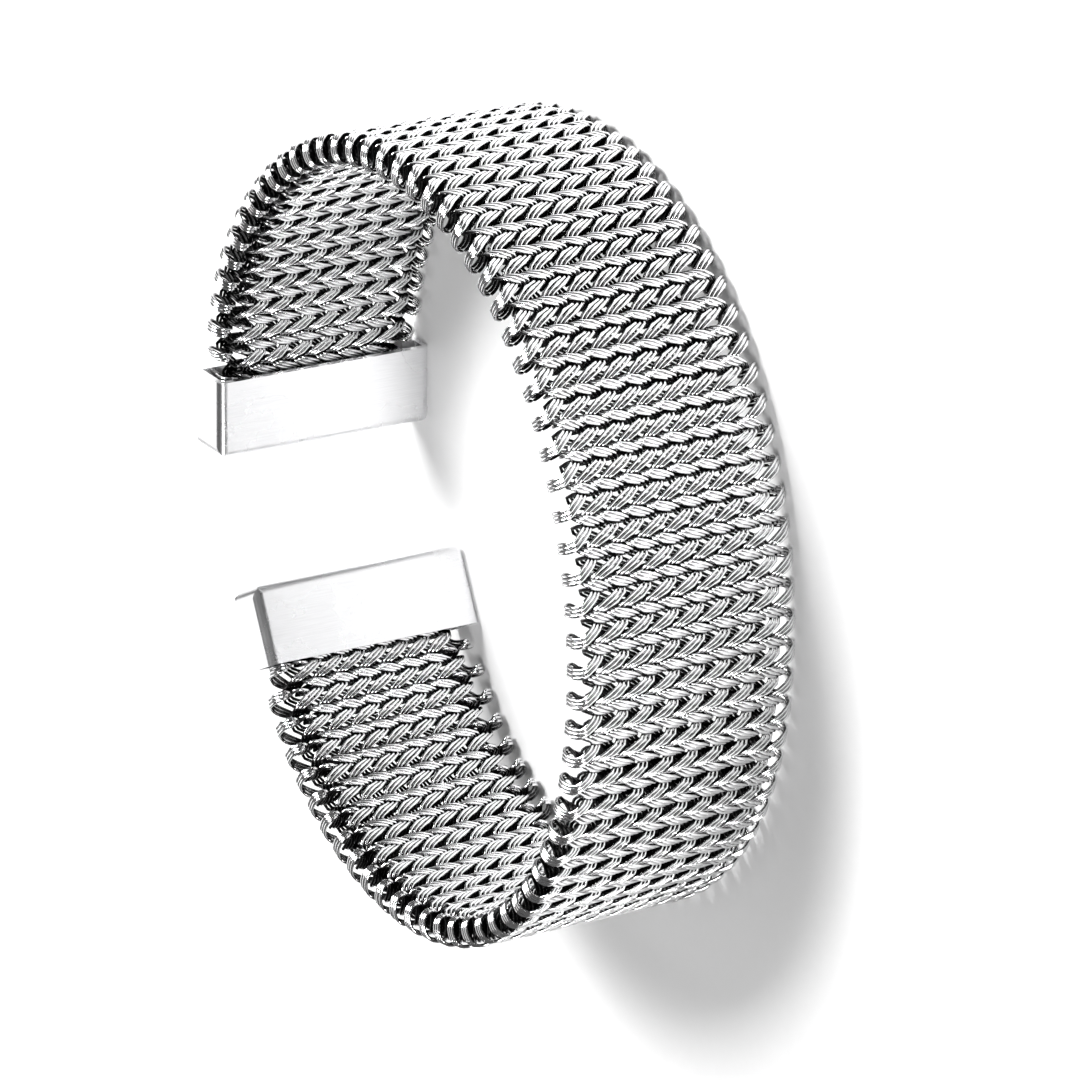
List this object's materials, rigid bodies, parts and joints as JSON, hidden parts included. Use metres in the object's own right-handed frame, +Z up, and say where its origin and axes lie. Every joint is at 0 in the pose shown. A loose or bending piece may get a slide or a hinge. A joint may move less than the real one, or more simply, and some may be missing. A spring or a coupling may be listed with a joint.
{
  "type": "open mesh bracelet",
  "caption": "Open cuff bracelet of woven steel wire mesh with a plain metal cap on each end, lying on its side.",
  "frame": {"origin": "under the middle of the bracelet's outline, on the surface that it lies on", "axes": "+Z up, along the axis of the ring; the gap between the end caps faces -X; the long way of the oval runs along Y, with the upper cap on the +Y side of the gap"},
  "size_m": [0.0576, 0.0624, 0.019],
  "materials": {
    "mesh_wire": "bright drawn steel wire",
    "cap_steel": "polished, with fine brushing"
  },
  "bodies": {
    "root": {"mesh_band": "mesh_wire", "end_cap_upper": "cap_steel", "end_cap_lower": "cap_steel"}
  },
  "joints": []
}
